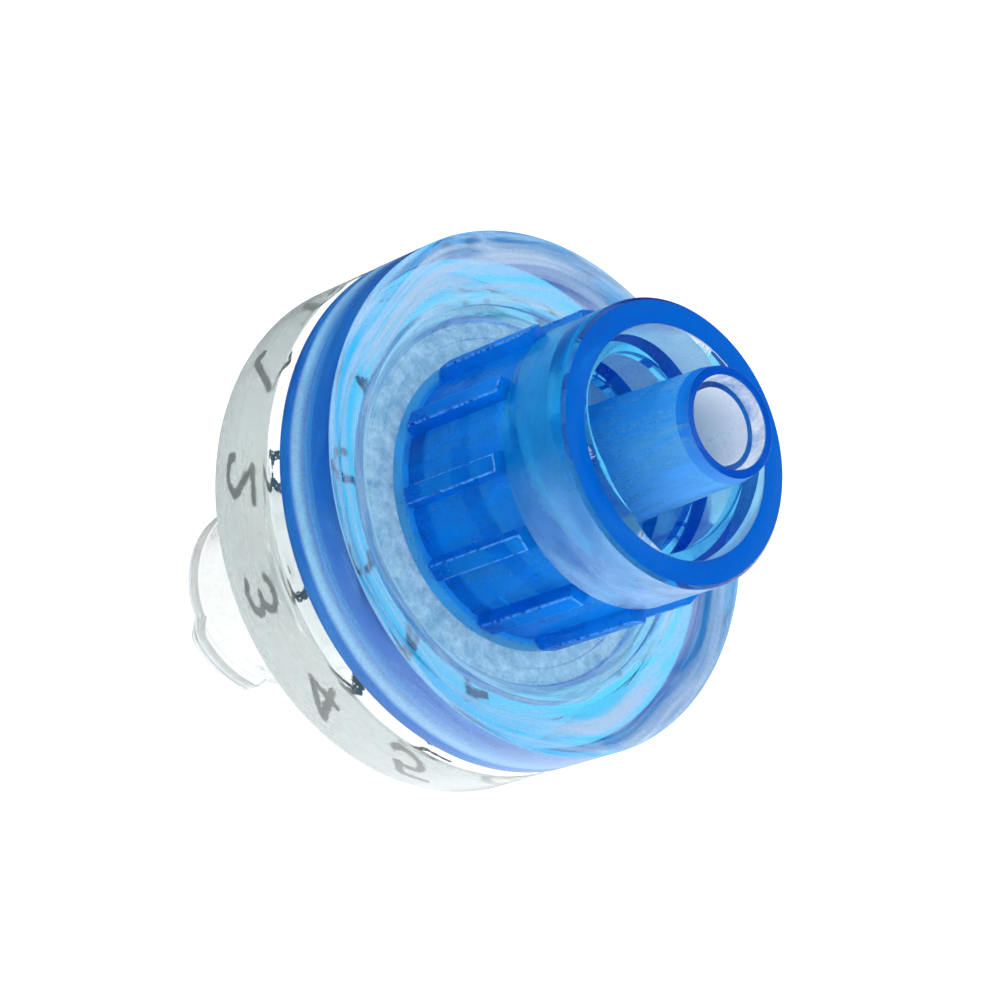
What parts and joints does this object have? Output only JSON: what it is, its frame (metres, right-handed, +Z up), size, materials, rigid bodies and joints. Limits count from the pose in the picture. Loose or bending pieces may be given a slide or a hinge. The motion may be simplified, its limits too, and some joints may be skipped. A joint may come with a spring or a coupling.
{
  "type": "syringe filter",
  "caption": "Round disc syringe filter with a ribbed translucent blue outlet housing, locking collar and tapered tip, welded to a clear inlet housing with a lugged socket hub.",
  "frame": {"origin": "centre of the flat inlet end that the filter stands on", "axes": "+Z up along the axis of the filter, from the inlet end to the outlet tip; the part is round about Z, with 12 ribs and two lugs set by azimuth from +X"},
  "size_m": [0.0188, 0.0188, 0.0256],
  "materials": {
    "blue_plastic": "translucent gloss, moulded",
    "clear_plastic": "clear gloss, moulded",
    "membrane": "fine matt film"
  },
  "bodies": {
    "root": {"outlet_housing": "blue_plastic", "inlet_housing": "clear_plastic", "filter_membrane": "membrane"}
  },
  "joints": []
}
